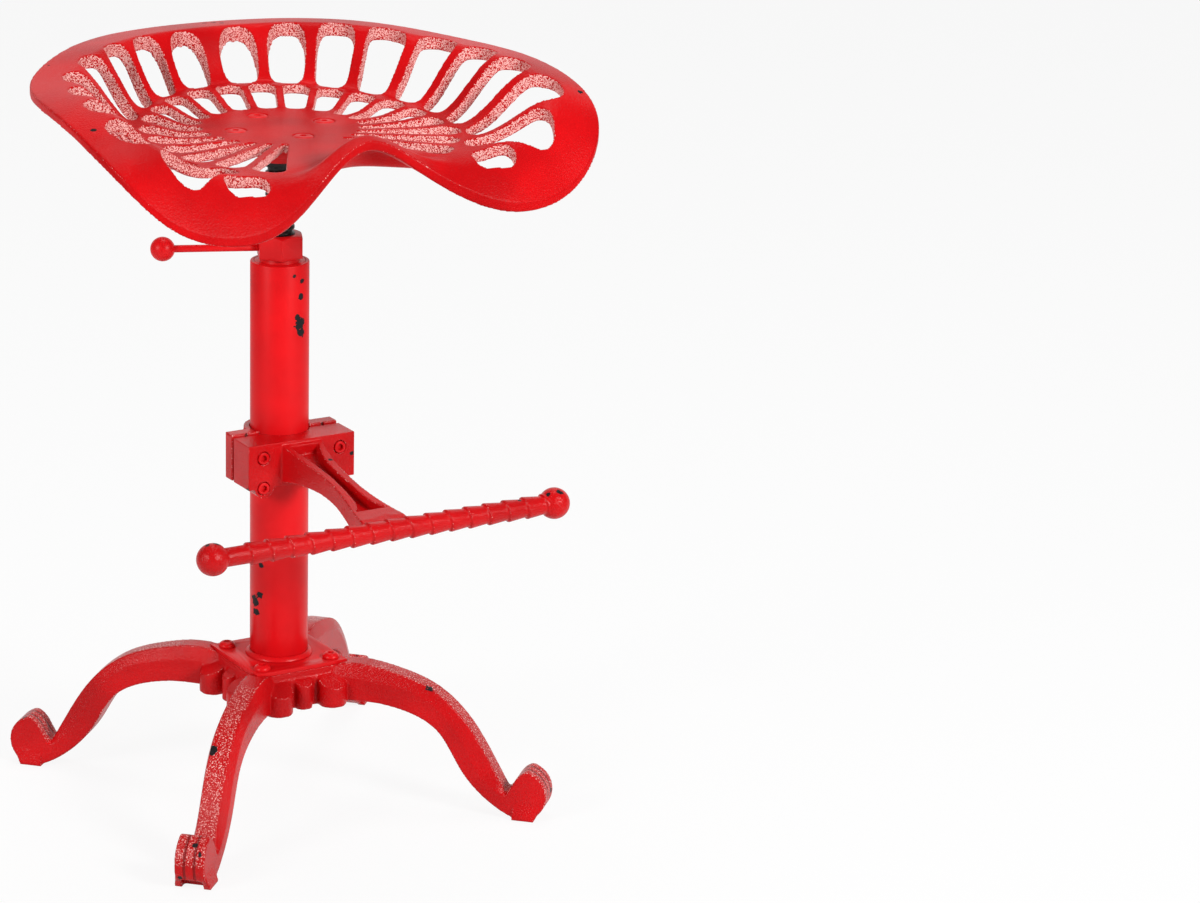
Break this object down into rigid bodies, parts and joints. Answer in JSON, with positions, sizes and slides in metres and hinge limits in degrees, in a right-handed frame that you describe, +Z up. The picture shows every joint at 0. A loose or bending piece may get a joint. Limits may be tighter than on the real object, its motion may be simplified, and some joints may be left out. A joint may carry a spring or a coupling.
{
  "type": "tractor seat stool",
  "caption": "Pierced cast tractor seat on a turning height screw, with a lock nut and lever, a tube on a scroll-footed cast base, and a clamped T-shaped footrest.",
  "frame": {"origin": "on the floor, under the axis of the column", "axes": "+Z up along the column, -Y towards the footrest and the front of the seat, +X to the right of somebody who looks at the front"},
  "size_m": [0.4436, 0.3728, 0.6288],
  "materials": {
    "cast_paint": "red paint, chipped and rubbed, on rough sand-cast iron",
    "steel_paint": "red paint, rubbed, on smooth steel",
    "black_steel": "oiled black steel",
    "plain_steel": "zinc-plated steel",
    "guide_plastic": "natural engineering plastic"
  },
  "bodies": {
    "stand": {"base_casting": "cast_paint", "base_plate": "steel_paint", "column_tube": "steel_paint", "column_weld": "steel_paint", "base_screws": "steel_paint", "base_washers": "plain_steel", "base_nuts": "plain_steel", "threaded_bush": "black_steel"},
    "spindle_guide": {"guide_bush": "guide_plastic"},
    "seat": {"seat_pan": "cast_paint", "seat_flange": "steel_paint", "spindle": "black_steel", "seat_screws": "steel_paint", "seat_nuts": "plain_steel", "guide_washer": "plain_steel", "guide_screw": "plain_steel"},
    "lock": {"lock_nut": "steel_paint", "lock_lever": "steel_paint", "lever_knob": "steel_paint"},
    "footrest": {"footrest_casting": "cast_paint", "footrest_clamp": "cast_paint", "clamp_screws": "steel_paint", "clamp_nuts": "plain_steel"}
  },
  "joints": [
    {"name": "seat_rise", "type": "slide", "parent": "stand", "child": "spindle_guide", "axis": [0, 0, 1], "range_m": [-0.0541, 0.1501]},
    {"name": "seat_turn", "type": "hinge", "parent": "spindle_guide", "child": "seat", "pos_m": [0, 0, 0.5], "axis": [0, 0, 1], "range_deg": [-3240, 9000]},
    {"name": "lever_turn", "type": "hinge", "parent": "stand", "child": "lock", "pos_m": [0, 0, 0.47], "axis": [0, 0, 1], "range_deg": [0, 60]},
    {"name": "footrest_height", "type": "slide", "parent": "stand", "child": "footrest", "axis": [0, 0, 1], "range_m": [-0.12, 0.13]}
  ],
  "couplings": [
    {"joint": "seat_rise", "follows": "seat_turn", "m_per_rad": 0.00095493}
  ]
}
